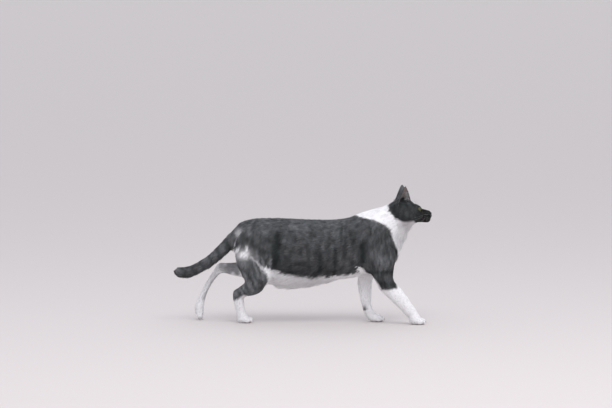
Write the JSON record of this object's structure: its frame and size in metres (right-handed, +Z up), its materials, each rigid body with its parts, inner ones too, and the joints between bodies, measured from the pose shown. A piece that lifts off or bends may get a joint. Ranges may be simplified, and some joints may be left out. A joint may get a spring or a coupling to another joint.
{
  "type": "domestic cat",
  "caption": "Life-size domestic cat, grey tabby and white, walking with head raised, tail held low and one hind foot on its toe tips; stands on flats under its paws",
  "frame": {"origin": "on the floor, under the middle of the cat's bounding box", "axes": "+X forward, towards the head; +Y to the cat's left; +Z up"},
  "size_m": [0.6488, 0.1288, 0.3449],
  "materials": {
    "grey_fur": "short dense blue-grey tabby coat, faint stripes, matt with a soft sheen",
    "white_fur": "short dense white coat, matt, slightly translucent at the tips",
    "nose_leather": "damp, finely pebbled dark skin",
    "eye": "wet, glossy yellow-green iris with a slit pupil under a clear cornea"
  },
  "bodies": {
    "root": {"rump": "grey_fur", "belly": "grey_fur", "chest": "grey_fur", "neck": "white_fur", "tail_1": "grey_fur", "tail_2": "grey_fur", "tail_3": "grey_fur", "tail_4": "grey_fur", "foreleg_right_upper": "grey_fur", "foreleg_right_forearm": "white_fur", "foreleg_right_paw": "white_fur", "foreleg_left_upper": "grey_fur", "foreleg_left_forearm": "white_fur", "foreleg_left_paw": "white_fur", "hindleg_right_thigh": "grey_fur", "hindleg_right_shin": "grey_fur", "hindleg_right_foot": "white_fur", "hindleg_right_paw": "white_fur", "hindleg_left_thigh": "grey_fur", "hindleg_left_shin": "grey_fur", "hindleg_left_foot": "white_fur", "hindleg_left_paw": "white_fur", "head": "grey_fur", "nose": "nose_leather", "eye_left": "eye", "ear_left": "grey_fur", "eye_right": "eye", "ear_right": "grey_fur"}
  },
  "joints": []
}
